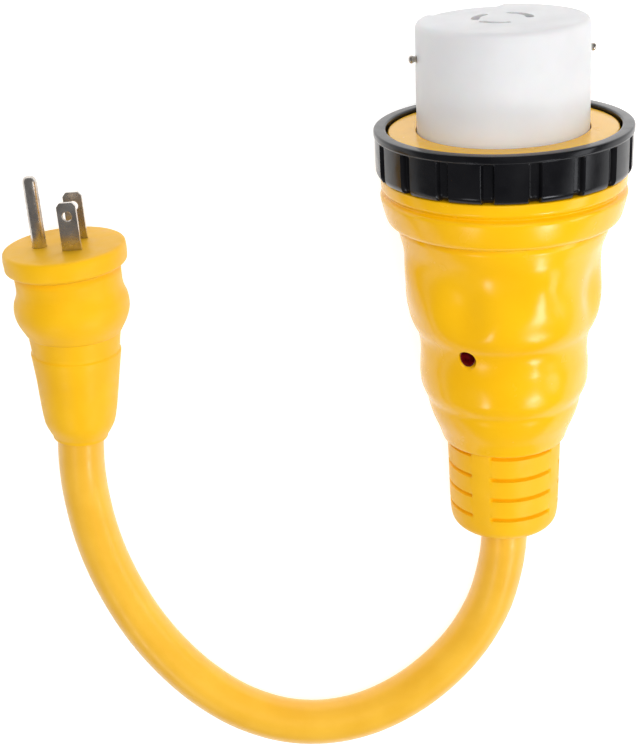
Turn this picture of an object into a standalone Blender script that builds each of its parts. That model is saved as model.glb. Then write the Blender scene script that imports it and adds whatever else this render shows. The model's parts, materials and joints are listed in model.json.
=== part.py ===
"""Shore power adapter ("dogbone"): a moulded three-pin plug, a short thick cord and a round
locking connector with a turning sealing ring.

Lengths below are millimetres on a table: X to the right, Y away, Z up. The plug and the connector
lie on the table with their noses raised by their own taper. Each has an empty on its axis, with
local +Z towards its nose and local -Y away from the table, and its pieces are parented to it.
"""

import math

import bmesh
import bpy
from mathutils import Matrix, Vector

MM = 0.001
GAP = 0.3
UP = Vector((0.0, 0.0, 1.0))

# The table point under the middle of the finished adapter becomes the origin.
CENTRE = Vector((-3.645, -77.356, 0.0))

# Connector: its datum is the front plane of the locking ring.
CONNECTOR_AT = Vector((57.0, -25.4, 42.6))
CONNECTOR_AXIS = Vector((-0.0528, 0.982, 0.1805)).normalized()
RING_RADIUS = 40.5
RING_DEPTH = 14.7
RING_BORE = 36.6
GRIP_GROOVES = 18
NOSE_RADIUS = 26.8
NOSE_FRONT = 32.4
NOSE_WALL = 2.8
LUG_HEIGHT = 21.7
LUG_ANGLES = (-85.0, 95.0)
LED_ANGLE = -31.0
LED_HEIGHT = -69.3
LED_RADIUS = 27.6
LED_TILT = 30.0
CONTACT_RADIUS = 8.2
CONTACT_ARCS = {
    "contact_line_2": (-152.0, -80.0),
    "contact_neutral": (-62.0, 12.0),
    "contact_line_1": (75.0, 165.0),
}
TAIL_END = -30.0
SCREW_CIRCLE = 27.0
SCREW_ANGLES = (60.0, 180.0, 300.0)
GROUND_TAIL = (21.0, 10.0)
BOOT_FRONT = -107.0
BOOT_END = -140.0
BOOT_SLOTS = (-107.9, -115.9, -123.5, -131.1)

# Plug: its datum is the face that the blades stand on.
PLUG_AT = Vector((-84.9, -66.3, 23.15))
PLUG_AXIS = Vector((-0.076, 0.983, 0.1685)).normalized()
PLUG_END = -69.5
PLUG_BEND = 4.0
BLADE_LINE = 3.9
BLADE_SPACING = 12.7
GROUND_OFFSET = 11.9
BLADE_WIDTH = 6.35
BLADE_THICKNESS = 1.5
BLADE_LENGTH = 16.0
BLADE_ROOT = -16.0
GROUND_PIN_LENGTH = 24.0
GROUND_PIN_RADIUS = 2.4
PLUG_CAVITY_END = -44.0

# Cord, from the plug to the connector, lying on the table.
CORD_RADIUS = 8.0
CORD_ROUTE = (
    (-83.9, -141.0, 10.2), (-83.9, -147.1, 9.2), (-83.5, -153.3, 8.5), (-82.5, -160.4, 8.1),
    (-80.5, -169.7, 8.1), (-77.0, -180.9, 8.1), (-71.6, -193.2, 8.1), (-64.0, -206.4, 8.1),
    (-54.4, -218.8, 8.1), (-42.7, -230.0, 8.1), (-29.0, -239.0, 8.1), (-13.5, -244.4, 8.1),
    (2.3, -245.2, 8.1), (17.7, -241.6, 8.1), (32.1, -234.0, 8.1), (44.6, -223.5, 8.1),
    (54.2, -211.3, 8.7), (60.6, -197.8, 10.5), (63.6, -185.0, 12.9), (64.8, -173.0, 15.4),
)
CORD_STEP = 5.5


def clear_scene():
    for item in list(bpy.data.objects):
        bpy.data.objects.remove(item)


def finish(name, colour, roughness, metallic=0.0):
    material = bpy.data.materials.new(name)
    material.use_nodes = True
    shader = material.node_tree.nodes["Principled BSDF"]
    shader.inputs["Base Color"].default_value = (*colour, 1.0)
    shader.inputs["Roughness"].default_value = roughness
    shader.inputs["Metallic"].default_value = metallic
    return material


def axis_empty(name, place, axis):
    """An empty whose local Z runs along the axis and whose local X stays level."""
    right = Vector((1.0, 0.0, 0.0))
    right = (right - right.dot(axis) * axis).normalized()
    back = axis.cross(right)
    turn = Matrix((right, back, axis)).transposed().to_4x4()
    empty = bpy.data.objects.new(name, None)
    empty.matrix_world = Matrix.Translation((place - CENTRE) * MM) @ turn
    bpy.context.scene.collection.objects.link(empty)
    return empty


def spot(radius, angle, height=0.0):
    """The point at an angle from local -Y towards +X."""
    turn = math.radians(angle)
    return Vector((radius * math.sin(turn), -radius * math.cos(turn), height))


def add_object(name, mesh_builder, material, parent):
    mesh = bpy.data.meshes.new(name)
    bmesh.ops.recalc_face_normals(mesh_builder, faces=mesh_builder.faces)
    bmesh.ops.scale(mesh_builder, vec=(MM, MM, MM), verts=mesh_builder.verts)
    mesh_builder.to_mesh(mesh)
    mesh_builder.free()
    mesh.shade_smooth()
    mesh.set_sharp_from_angle(angle=math.radians(35.0))
    item = bpy.data.objects.new(name, mesh)
    if material:
        mesh.materials.append(material)
    item.parent = parent
    bpy.context.scene.collection.objects.link(item)
    return item


def turned_body(profile, segments, build=None):
    """Spin (radius, height) points once around local Z; a profile off the axis is a closed loop."""
    build = build or bmesh.new()
    points = [build.verts.new((radius, 0.0, height)) for radius, height in profile]
    pairs = list(zip(points, points[1:]))
    if min(radius for radius, height in profile) > 0.0:
        pairs.append((points[-1], points[0]))
    edges = [build.edges.new(pair) for pair in pairs]
    bmesh.ops.spin(
        build, geom=points + edges, axis=(0.0, 0.0, 1.0), cent=(0.0, 0.0, 0.0),
        steps=segments, angle=2.0 * math.pi,
    )
    bmesh.ops.remove_doubles(build, verts=build.verts, dist=0.001)
    return build


def arc_body(profile, start, end, steps, build=None):
    """Sweep a closed (radius, height) outline from one angle to another around local Z."""
    build = build or bmesh.new()
    corners = [build.verts.new(spot(radius, start, height)) for radius, height in profile]
    face = build.faces.new(corners)
    bmesh.ops.spin(
        build, geom=[face], axis=(0.0, 0.0, 1.0), cent=(0.0, 0.0, 0.0),
        steps=steps, angle=math.radians(end - start),
    )
    bmesh.ops.remove_doubles(build, verts=build.verts, dist=0.001)
    return build


def rod_body(start, end, radius, segments=16, build=None):
    build = build or bmesh.new()
    along = end - start
    turn = along.to_track_quat("Z", "Y").to_matrix().to_4x4()
    place = Matrix.Translation((start + end) / 2.0) @ turn
    bmesh.ops.create_cone(
        build, cap_ends=True, segments=segments, radius1=radius, radius2=radius,
        depth=along.length, matrix=place,
    )
    return build


def box_body(centre, size, angle=0.0, build=None):
    """A box whose own axes are turned about local Z, in the sense of spot()."""
    build = build or bmesh.new()
    place = Matrix.Translation(centre) @ Matrix.Rotation(math.radians(angle), 4, "Z")
    bmesh.ops.create_cube(build, size=1.0, matrix=place @ Matrix.Diagonal((*size, 1.0)))
    return build


def boolean(target, tool, operation="DIFFERENCE"):
    tool.hide_render = True
    tool.display_type = "WIRE"
    step = target.modifiers.new(operation.title(), "BOOLEAN")
    step.operation = operation
    step.solver = "EXACT"
    step.object = tool


def smooth_points(route, step):
    """Points at even steps along the Catmull-Rom curve through the route."""
    ends = [2.0 * route[0] - route[1], *route, 2.0 * route[-1] - route[-2]]
    dense = []
    for before, start, end, after in zip(ends, ends[1:], ends[2:], ends[3:]):
        for count in range(12):
            t = count / 12.0
            dense.append(0.5 * (
                2.0 * start + (end - before) * t
                + (2.0 * before - 5.0 * start + 4.0 * end - after) * t * t
                + (3.0 * start - before - 3.0 * end + after) * t * t * t
            ))
    dense.append(route[-1])
    total = sum((b - a).length for a, b in zip(dense, dense[1:]))
    spacing = total / max(1, round(total / step))
    points = [dense[0]]
    walked = 0.0
    for a, b in zip(dense, dense[1:]):
        piece = (b - a).length
        while walked + piece >= spacing * len(points) - 1e-6 and piece > 0.0:
            points.append(a.lerp(b, (spacing * len(points) - walked) / piece))
        walked += piece
    return points


def wire(name, route, radius, material, parent=None, step=4.0, resolution=2):
    """A round wire along a smooth curve, with flat filled ends."""
    curve = bpy.data.curves.new(name, "CURVE")
    curve.dimensions = "3D"
    curve.bevel_depth = radius * MM
    curve.bevel_resolution = resolution
    curve.use_fill_caps = True
    points = smooth_points([Vector(point) for point in route], step)
    line = curve.splines.new("POLY")
    line.points.add(len(points) - 1)
    for knot, point in zip(line.points, points):
        knot.co = (*(point * MM), 1.0)
    curve.materials.append(material)
    item = bpy.data.objects.new(name, curve)
    item.parent = parent
    bpy.context.scene.collection.objects.link(item)
    return item


# ---------------------------------------------------------------- connector

def led_axis():
    """The lamp's place on the grip, and the way it faces: outwards and a little to the rear."""
    tilt = math.radians(LED_TILT)
    out = spot(math.cos(tilt), LED_ANGLE, -math.sin(tilt))
    return spot(LED_RADIUS, LED_ANGLE, LED_HEIGHT), out


def make_connector_overmold(parent, material):
    """The grip: a front flange that keeps the ring on, a neck, a shoulder and a waisted body."""
    bore = NOSE_RADIUS + GAP
    outside = [
        (bore, -1.1), (35.6, -1.1), (36.0, -1.5), (36.0, -5.0), (33.0, -5.0), (33.0, -15.0),
        (38.7, -15.0), (38.7, -19.0), (37.0, -20.0), (39.1, -21.0), (38.3, -25.0), (36.4, -30.0),
        (34.2, -30.6), (32.8, -35.5), (30.9, -42.0), (30.6, -48.0), (31.6, -55.0), (30.3, -63.0),
        (27.6, -71.0), (27.5, -84.0), (25.0, -95.0), (21.1, -104.5), (20.8, BOOT_FRONT + GAP),
    ]
    inside = [
        (15.3, BOOT_FRONT + GAP), (15.3, -97.0), (18.0, -97.0), (22.0, -86.0), (23.0, -70.0),
        (26.0, -45.0), (27.0, -23.2), (30.3, -23.2), (30.3, -11.7), (bore, -11.7),
    ]
    shell = add_object("connector_overmold", turned_body(outside + inside, 40), material, parent)
    centre, out = led_axis()
    hole = rod_body(centre - 9.0 * out, centre + 6.0 * out, 2.7, 20)
    boolean(shell, add_object("led_bore_cutter", hole, None, parent))


def make_strain_relief_boot(parent, material):
    """The ribbed rear boot: four rows of slots, each broken by four plain strips."""
    profile = [
        (CORD_RADIUS + GAP, BOOT_END), (15.6, BOOT_END), (17.2, BOOT_END + 0.9),
        (18.05, BOOT_END + 2.4), (18.6, -130.0), (19.1, BOOT_FRONT), (15.0, BOOT_FRONT),
        (15.0, -97.3), (CORD_RADIUS + GAP, -97.3),
    ]
    boot = add_object("strain_relief_boot", turned_body(profile, 40), material, parent)
    cuts = bmesh.new()
    for height in BOOT_SLOTS:
        low = height - 0.8
        high = height + 0.8
        outline = [(16.4, low), (20.5, low), (20.5, high), (16.4, high)]
        for quarter in range(4):
            start = LED_ANGLE + 90.0 * quarter + 10.0
            arc_body(outline, start, start + 70.0, 7, cuts)
    boolean(boot, add_object("boot_slot_cutter", cuts, None, parent))


def make_nose_insulator(parent, material):
    """The round nose: a cup, open at the back, with three curved slots through its face."""
    inner = NOSE_RADIUS - NOSE_WALL
    profile = [
        (0.0, NOSE_FRONT), (NOSE_RADIUS - 1.8, NOSE_FRONT), (NOSE_RADIUS - 0.5, NOSE_FRONT - 0.5),
        (NOSE_RADIUS, NOSE_FRONT - 1.8), (NOSE_RADIUS, -12.0), (30.0, -12.0), (30.0, -15.0),
        (inner, -15.0), (inner, NOSE_FRONT - 6.4), (0.0, NOSE_FRONT - 6.4),
    ]
    nose = add_object("nose_insulator", turned_body(profile, 48), material, parent)
    cuts = bmesh.new()
    outline = [(CONTACT_RADIUS - 1.3, 24.0), (CONTACT_RADIUS + 1.3, 24.0)]
    outline += [(CONTACT_RADIUS + 1.3, 34.0), (CONTACT_RADIUS - 1.3, 34.0)]
    for start, end in CONTACT_ARCS.values():
        arc_body(outline, start, end, 8, cuts)
    for angle in LUG_ANGLES:
        rod_body(spot(22.0, angle, LUG_HEIGHT), spot(30.0, angle, LUG_HEIGHT), 1.5, 12, cuts)
    for angle in SCREW_ANGLES:
        rod_body(spot(SCREW_CIRCLE, angle, -17.0), spot(SCREW_CIRCLE, angle, -10.0), 1.7, 12, cuts)
    boolean(nose, add_object("nose_cutter", cuts, None, parent))


def tail_spots():
    """Where the terminal tails pass through the carrier."""
    spots = {"ground_strap": spot(*GROUND_TAIL)}
    for name, (start, end) in CONTACT_ARCS.items():
        spots[name] = spot(CONTACT_RADIUS, (start + end) / 2.0)
    return spots


def make_contact_carrier(parent, material):
    profile = [(0.0, -15.3), (30.0, -15.3), (30.0, -20.3), (0.0, -20.3)]
    carrier = add_object("contact_carrier", turned_body(profile, 40), material, parent)
    cuts = bmesh.new()
    for place in tail_spots().values():
        rod_body(place - 23.0 * UP, place - 12.0 * UP, 2.6 + GAP, 16, cuts)
    for angle in SCREW_ANGLES:
        rod_body(spot(SCREW_CIRCLE, angle, -23.0), spot(SCREW_CIRCLE, angle, -13.0), 1.7, 12, cuts)
    boolean(carrier, add_object("carrier_cutter", cuts, None, parent))


def make_contacts(parent, material):
    """Curved sockets: a sleeve of U section behind each slot, with a round tail to the rear."""
    low = 3.0
    high = 24.5
    inner = CONTACT_RADIUS - 2.6
    outer = CONTACT_RADIUS + 2.6
    outline = [
        (inner, low), (outer, low), (outer, high), (outer - 1.1, high), (outer - 1.1, low + 2.0),
        (inner + 1.1, low + 2.0), (inner + 1.1, high), (inner, high),
    ]
    for name, (start, end) in CONTACT_ARCS.items():
        socket = add_object(name, arc_body(outline, start + 3.0, end - 3.0, 7), material, parent)
        place = tail_spots()[name]
        tail = rod_body(place + TAIL_END * UP, place + (low + 1.0) * UP, 2.5)
        boolean(socket, add_object(name + "_tail", tail, None, parent), "UNION")


def make_ground_parts(parent, brass, steel):
    """A ring on the carrier with two legs up inside the nose, and a lug through the nose on each leg."""
    ring = [(19.0, -12.0), (23.2, -12.0), (23.2, -13.6), (19.0, -13.6)]
    strap = add_object("ground_strap", turned_body(ring, 36), brass, parent)
    legs = bmesh.new()
    for angle in LUG_ANGLES:
        box_body(spot(22.4, angle, 6.0), (8.0, 1.2, 38.0), angle, legs)
    boolean(strap, add_object("ground_strap_legs", legs, None, parent), "UNION")
    place = spot(*GROUND_TAIL)
    tail = rod_body(place + TAIL_END * UP, place - 12.8 * UP, 1.9)
    boolean(strap, add_object("ground_strap_tail", tail, None, parent), "UNION")
    for name, angle in zip(("ground_lug_left", "ground_lug_right"), LUG_ANGLES):
        pin = rod_body(spot(23.3, angle, LUG_HEIGHT), spot(NOSE_RADIUS + 2.3, angle, LUG_HEIGHT), 1.2, 12)
        add_object(name, pin, steel, parent)


def make_carrier_screws(parent, material):
    profile = [(0.0, -12.6), (1.4, -12.6), (1.4, -20.6), (2.6, -20.6), (2.6, -22.4), (0.0, -22.4)]
    for number, angle in enumerate(SCREW_ANGLES, start=1):
        screw = turned_body(profile, 14)
        bmesh.ops.translate(screw, vec=spot(SCREW_CIRCLE, angle), verts=screw.verts)
        add_object(f"carrier_screw_{number}", screw, material, parent)


def make_indicator(parent, lens, resistor, lead):
    """The power light: a lamp in the bore, its series resistor and two leads."""
    centre, out = led_axis()
    lamp = turned_body([(0.0, -1.4), (1.5, -1.9), (2.4, -3.4), (2.4, -8.6), (0.0, -8.6)], 20)
    turn = out.to_track_quat("Z", "Y").to_matrix().to_4x4()
    bmesh.ops.transform(lamp, matrix=Matrix.Translation(centre) @ turn, verts=lamp.verts)
    add_object("led_lamp", lamp, lens, parent)
    body = rod_body(spot(15.5, -70.0, -63.0), spot(15.5, -70.0, -56.0), 1.5, 12)
    add_object("led_resistor", body, resistor, parent)
    back = centre - 8.9 * out
    side = spot(1.2, LED_ANGLE + 90.0)
    wire("led_lead_line", [back - side, back - side - 2.0 * out, spot(16.5, -54.0, -66.0),
                           spot(15.5, -66.0, -66.6), spot(15.5, -70.0, -63.4)], 0.7, lead, parent, 2.0)
    wire("led_lead_neutral", [back + side, back + side - 2.0 * out, spot(14.0, -27.0, -58.0),
                              spot(12.4, -30.0, -54.0)], 0.7, lead, parent, 2.0)


def make_connector_wiring(parent, wires):
    """The cord's end in the boot, its three conductors, and the link that feeds both line contacts."""
    stub = rod_body((BOOT_END + GAP) * UP, -97.6 * UP, CORD_RADIUS, 20)
    add_object("cord_end_in_connector", stub, wires["jacket"], parent)
    tails = tail_spots()
    plan = (
        ("conductor_line", "black", 120.0, "contact_line_1"),
        ("conductor_neutral", "white", -120.0, "contact_neutral"),
        ("conductor_ground", "green", 0.0, "ground_strap"),
    )
    for name, colour, angle, terminal in plan:
        start = spot(3.7, angle)
        end = tails[terminal]
        route = [
            start - 97.3 * UP, start - 91.0 * UP, start.lerp(end, 0.25) - 76.0 * UP,
            start.lerp(end, 0.75) - 52.0 * UP, end - 37.0 * UP, end + (TAIL_END - GAP) * UP,
        ]
        wire(name, route, 2.2, wires[colour], parent, 5.0)
    start = tails["contact_line_2"]
    route = [
        start + (TAIL_END - GAP) * UP, start - 34.0 * UP, start + Vector((1.4, 0.2, -38.6)),
        start + Vector((6.0, 0.3, -41.5)), start + Vector((11.2, 0.4, -42.0)),
    ]
    wire("jumper_line_link", route, 1.8, wires["black"], parent, 2.5)


def make_locking_ring(parent, material, rubber):
    """The turning ring: a thin full rim, a grooved grip below it and an inner lip behind the flange."""
    outer = RING_RADIUS
    profile = [
        (RING_BORE, -0.3), (RING_BORE + 0.3, 0.0), (outer - 0.5, 0.0), (outer, -0.5), (outer, -1.9),
        (outer - 0.25, -2.3), (outer - 0.25, -13.2), (outer - 1.2, -RING_DEPTH), (33.5, -RING_DEPTH),
        (33.5, -11.6), (RING_BORE, -11.6),
    ]
    ring = add_object("locking_ring", turned_body(profile, 54), material, parent)
    cuts = bmesh.new()
    for count in range(GRIP_GROOVES):
        angle = -13.0 + 360.0 * count / GRIP_GROOVES
        box_body(spot(outer + 0.6, angle, -8.8), (3.6, 4.4, 12.9), angle, cuts)
    boolean(ring, add_object("grip_groove_cutter", cuts, None, parent))
    gasket = [(33.4, -9.3), (36.2, -9.3), (36.2, -11.3), (33.4, -11.3)]
    add_object("ring_gasket", turned_body(gasket, 40), rubber, parent)


# --------------------------------------------------------------------- plug

def lean_point(point):
    """A point of the straight plug, moved as its flexible tail bends to -X with the pull of the cord."""
    span = -PLUG_END - 12.0
    reach = max(0.0, -point.z - 12.0) / span
    turn = math.atan(1.6 * PLUG_BEND / span * reach ** 0.6)
    across = point.x * math.cos(turn) - PLUG_BEND * reach ** 1.6
    return Vector((across, point.y, point.z - point.x * math.sin(turn)))


def lean(build):
    for vert in build.verts:
        vert.co = lean_point(vert.co)
    return build


def blade_spots():
    return {
        "line_blade": Vector((BLADE_LINE, -BLADE_SPACING / 2.0, 0.0)),
        "neutral_blade": Vector((BLADE_LINE, BLADE_SPACING / 2.0, 0.0)),
        "ground_pin": Vector((BLADE_LINE - GROUND_OFFSET, 0.0, 0.0)),
    }


def cut_blade_holes(target, name, low, high, parent):
    """Clearance holes for the two blades and the ground pin."""
    cuts = bmesh.new()
    middle = (low + high) / 2.0
    for blade, place in blade_spots().items():
        if blade == "ground_pin":
            rod_body(place + low * UP, place + high * UP, GROUND_PIN_RADIUS + GAP, 20, cuts)
        else:
            size = (BLADE_WIDTH + 2.0 * GAP, BLADE_THICKNESS + 2.0 * GAP, high - low)
            box_body(place + middle * UP, size, 0.0, cuts)
    boolean(target, add_object(name, cuts, None, parent))


def make_plug_overmold(parent, material):
    """The plug grip: face, flange, neck, bulge and a long tapered tail, over a stepped cavity."""
    outside = [
        (0.0, 0.0), (19.6, 0.0), (20.4, -0.8), (20.4, -5.4), (19.7, -6.6), (18.3, -7.6),
        (18.0, -12.0), (18.2, -16.0), (19.0, -20.0), (19.2, -24.0), (18.7, -28.0), (17.3, -31.5),
        (15.7, -35.0), (15.0, -38.0), (14.9, -41.0), (14.1, -47.0), (13.3, -54.0), (12.5, -61.0),
        (11.3, -65.5), (9.9, -68.2), (9.3, PLUG_END),
    ]
    inside = [
        (CORD_RADIUS + GAP, PLUG_END), (CORD_RADIUS + GAP, PLUG_CAVITY_END),
        (10.5, PLUG_CAVITY_END + 2.0), (14.2, -30.0), (14.2, -3.0), (0.0, -3.0),
    ]
    shell = add_object("plug_overmold", lean(turned_body(outside + inside, 40)), material, parent)
    cut_blade_holes(shell, "plug_face_cutter", -5.0, 2.0, parent)


def make_plug_carrier(parent, material):
    """The inner block that holds the blades, right behind the plug's face."""
    profile = [(0.0, -3.3), (13.9, -3.3), (13.9, -12.0), (0.0, -12.0)]
    block = add_object("plug_blade_carrier", turned_body(profile, 32), material, parent)
    cut_blade_holes(block, "plug_carrier_cutter", -14.0, -1.0, parent)


def make_blades(parent, material):
    """Two flat blades with a hole near the tip and a bevelled end, and the round ground pin."""
    for name, place in blade_spots().items():
        if name == "ground_pin":
            tip = GROUND_PIN_LENGTH
            outer = GROUND_PIN_RADIUS
            profile = [(0.0, tip), (0.9, tip - 0.1), (1.8, tip - 0.9), (outer, tip - 2.6)]
            profile += [(outer, BLADE_ROOT), (0.0, BLADE_ROOT)]
            pin = turned_body(profile, 20)
            bmesh.ops.translate(pin, vec=place, verts=pin.verts)
            add_object(name, pin, material, parent)
            continue
        half = BLADE_WIDTH / 2.0
        thick = BLADE_THICKNESS / 2.0
        tip = BLADE_LENGTH
        outline = [(-half, BLADE_ROOT), (half, BLADE_ROOT), (half, tip - 1.4), (half - 1.4, tip)]
        outline += [(1.4 - half, tip), (-half, tip - 1.4)]
        build = bmesh.new()
        face = build.faces.new([build.verts.new((x, -thick, z)) for x, z in outline])
        made = bmesh.ops.extrude_face_region(build, geom=[face])
        moved = [item for item in made["geom"] if isinstance(item, bmesh.types.BMVert)]
        bmesh.ops.translate(build, vec=(0.0, 2.0 * thick, 0.0), verts=moved)
        bmesh.ops.translate(build, vec=place, verts=build.verts)
        blade = add_object(name, build, material, parent)
        centre = place + (tip - 5.0) * UP
        hole = rod_body(centre - Vector((0.0, 3.0, 0.0)), centre + Vector((0.0, 3.0, 0.0)), 1.6, 16)
        boolean(blade, add_object(name + "_hole_cutter", hole, None, parent))


def make_plug_wiring(parent, wires):
    """The cord's end in the tail and the three conductors that run on to the blades."""
    stub = rod_body((PLUG_END + GAP) * UP, PLUG_CAVITY_END * UP, CORD_RADIUS, 20)
    bmesh.ops.bisect_plane(
        stub, geom=stub.verts[:] + stub.edges[:] + stub.faces[:],
        plane_co=(0.0, 0.0, -57.0), plane_no=(0.0, 0.0, 1.0),
    )
    add_object("cord_end_in_plug", lean(stub), wires["jacket"], parent)
    plan = (
        ("plug_conductor_line", "black", 45.0, "line_blade"),
        ("plug_conductor_neutral", "white", 135.0, "neutral_blade"),
        ("plug_conductor_ground", "green", -90.0, "ground_pin"),
    )
    for name, colour, angle, terminal in plan:
        start = lean_point(spot(3.9, angle, PLUG_CAVITY_END)) + 0.5 * UP
        end = blade_spots()[terminal]
        middle = start.lerp(end, 0.5)
        middle.z = -31.0
        route = [start, start + 5.0 * UP, middle, end - 22.0 * UP, end + (BLADE_ROOT - GAP) * UP]
        wire(name, route, 2.1, wires[colour], parent, 4.0)


# --------------------------------------------------------------------- cord

def make_cord(connector, plug, material):
    """The free cord, from 0.3 mm behind the plug's tail to 0.3 mm behind the connector's boot."""
    start = plug.matrix_world @ (lean_point((PLUG_END - GAP) * UP) * MM)
    end = connector.matrix_world @ (Vector((0.0, 0.0, BOOT_END - GAP)) * MM)
    middle = [Vector(point) - CENTRE for point in CORD_ROUTE]
    wire("power_cord", [start / MM, *middle, end / MM], CORD_RADIUS, material, None, CORD_STEP)


def main():
    clear_scene()
    yellow = finish("yellow_vinyl", (0.93, 0.53, 0.02), 0.32)
    cord_yellow = finish("cord_yellow", (0.90, 0.50, 0.04), 0.42)
    black = finish("black_nylon", (0.012, 0.012, 0.014), 0.22)
    white = finish("white_nylon", (0.78, 0.78, 0.80), 0.30)
    brass = finish("brass", (0.80, 0.58, 0.25), 0.30, 1.0)
    nickel = finish("nickel_plate", (0.62, 0.58, 0.52), 0.25, 1.0)
    rubber = finish("black_rubber", (0.02, 0.02, 0.02), 0.75)
    lens = finish("red_lens", (0.22, 0.01, 0.01), 0.20)
    ceramic = finish("resistor_body", (0.55, 0.45, 0.32), 0.60)
    wires = {
        "jacket": cord_yellow,
        "black": finish("wire_black", (0.02, 0.02, 0.02), 0.45),
        "white": finish("wire_white", (0.80, 0.80, 0.78), 0.45),
        "green": finish("wire_green", (0.03, 0.30, 0.06), 0.45),
    }
    connector = axis_empty("connector_axis", CONNECTOR_AT, CONNECTOR_AXIS)
    make_connector_overmold(connector, yellow)
    make_strain_relief_boot(connector, yellow)
    make_nose_insulator(connector, white)
    make_contact_carrier(connector, white)
    make_contacts(connector, brass)
    make_ground_parts(connector, brass, nickel)
    make_carrier_screws(connector, nickel)
    make_indicator(connector, lens, ceramic, wires["white"])
    make_connector_wiring(connector, wires)
    make_locking_ring(connector, black, rubber)
    plug = axis_empty("plug_axis", PLUG_AT, PLUG_AXIS)
    make_plug_overmold(plug, yellow)
    make_plug_carrier(plug, black)
    make_blades(plug, nickel)
    make_plug_wiring(plug, wires)
    make_cord(connector, plug, cord_yellow)
    bpy.context.view_layer.update()


main()
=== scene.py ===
"""The visual model of the shore power adapter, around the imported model.

Local coordinates are millimetres. The connector and the plug each have a local frame: +Z runs along
the axis towards the nose or the plug's face, -Y faces away from the table, and angles turn from -Y
towards +X. A profile is a list of (radius, height, fillet) corners in such a frame.
"""
import json
import math

import bmesh
import bpy
import numpy as np
from mathutils import Matrix, Vector


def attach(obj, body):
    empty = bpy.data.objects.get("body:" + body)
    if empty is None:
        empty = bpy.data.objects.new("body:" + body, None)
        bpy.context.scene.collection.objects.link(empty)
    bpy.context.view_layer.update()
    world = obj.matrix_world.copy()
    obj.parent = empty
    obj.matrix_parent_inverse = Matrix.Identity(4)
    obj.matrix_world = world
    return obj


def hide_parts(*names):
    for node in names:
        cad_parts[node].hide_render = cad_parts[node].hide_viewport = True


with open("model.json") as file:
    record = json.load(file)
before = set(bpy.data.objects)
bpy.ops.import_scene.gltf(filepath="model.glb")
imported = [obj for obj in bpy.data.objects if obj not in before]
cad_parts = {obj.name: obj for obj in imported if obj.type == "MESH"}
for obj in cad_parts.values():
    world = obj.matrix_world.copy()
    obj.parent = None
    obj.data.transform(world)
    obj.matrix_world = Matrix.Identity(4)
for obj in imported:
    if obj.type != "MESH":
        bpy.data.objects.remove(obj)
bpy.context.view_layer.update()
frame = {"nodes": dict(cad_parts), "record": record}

MM = 0.001
ROOT = "adapter"
RING = "turning_ring"
SEAL = "sealing_gasket"

# The table point under the middle of the adapter, in the millimetres that part.py lays it out in.
CENTRE = Vector((-3.645, -77.356, 0.0))

# The connector's zero is the ring's front face, this far ahead of the record's hinge.
HINGE_DEPTH = 7.0
# The radius and angle of the record's face mount on the plug's face.
FACE_MOUNT = (16.0, 40.0)

RING_RADIUS = 40.5
RING_DEPTH = 14.7
RING_BORE = 36.6
GRIP_GROOVES = 18
FIRST_GROOVE = -13.0
GROOVE_HALF = 2.3
GROOVE_DEPTH = 1.9
GROOVE_TOP = -2.3
NOSE_RADIUS = 26.8
NOSE_FRONT = 32.4
NOSE_WALL = 2.8
NOSE_FLOOR = 6.4
KEY_ANGLE = 207.0
KEY_HALF = 32.0
KEY_DROP = 0.7
LUG_HEIGHT = 21.7
LUG_ANGLES = (-85.0, 95.0)
LUG_TIP = NOSE_RADIUS + 2.3
LUG_ROOT = 23.3
LUG_HOLE_RADIUS = 1.35
LED_ANGLE = -31.0
LED_HEIGHT = -69.3
LED_RADIUS = 27.6
LED_TILT = 30.0
CONTACT_RADIUS = 8.2
CONTACT_ARCS = ((-152.0, -80.0), (-62.0, 12.0), (75.0, 165.0))
NOSE_SLOT_WIDTH = 2.6
NOSE_SLOT_INSET = 9.0
BOOT_FRONT = -107.0
BOOT_END = -140.0
BOOT_SLOTS = (-107.9, -115.9, -123.5, -131.1)
BOOT_SLOT_SPAN = 34.0
BOOT_SLOT_HALF = 0.55
BOOT_SLOT_SOFT = 0.25
BOOT_SLOT_DEPTH = 1.5
PLUG_END = -69.5
PLUG_BEND = 4.0
BEND_START = -12.0
BEND_POWER = 1.6
BLADE_LINE = 3.9
BLADE_SPACING = 12.7
GROUND_OFFSET = 11.9
BLADE_WIDTH = 6.35
BLADE_THICKNESS = 1.5
BLADE_LENGTH = 16.0
BLADE_ROOT = -16.0
GROUND_PIN_LENGTH = 24.0
GROUND_PIN_RADIUS = 2.4
BLADE_HOLE_RADIUS = 1.6
BLADE_HOLE_DEPTH = 4.6
# The openings in the plug's face are this much larger than the blades on every side.
FACE_CLEARANCE = 0.12
CORD_RADIUS = 8.0
# The clearance between pieces that meet.
GAP = 0.3

# Edges that turn by more degrees than this are shaded sharp.
SHARP_ANGLE = 40.0

# The middle of the cord, from the plug's end to the connector's, in part.py's millimetres.
CORD_ROUTE = (
    (-83.9, -141.0, 10.2), (-83.9, -147.1, 9.2), (-83.5, -153.3, 8.5), (-82.5, -160.4, 8.1),
    (-80.5, -169.7, 8.1), (-77.0, -180.9, 8.1), (-71.6, -193.2, 8.1), (-64.0, -206.4, 8.1),
    (-54.4, -218.8, 8.1), (-42.7, -230.0, 8.1), (-29.0, -239.0, 8.1), (-13.5, -244.4, 8.1),
    (2.3, -245.2, 8.1), (17.7, -241.6, 8.1), (32.1, -234.0, 8.1), (44.6, -223.5, 8.1),
    (54.2, -211.3, 8.7), (60.6, -197.8, 10.5), (63.6, -185.0, 12.9), (64.8, -173.0, 15.4),
)


# ------------------------------------------------------------------- frames

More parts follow.
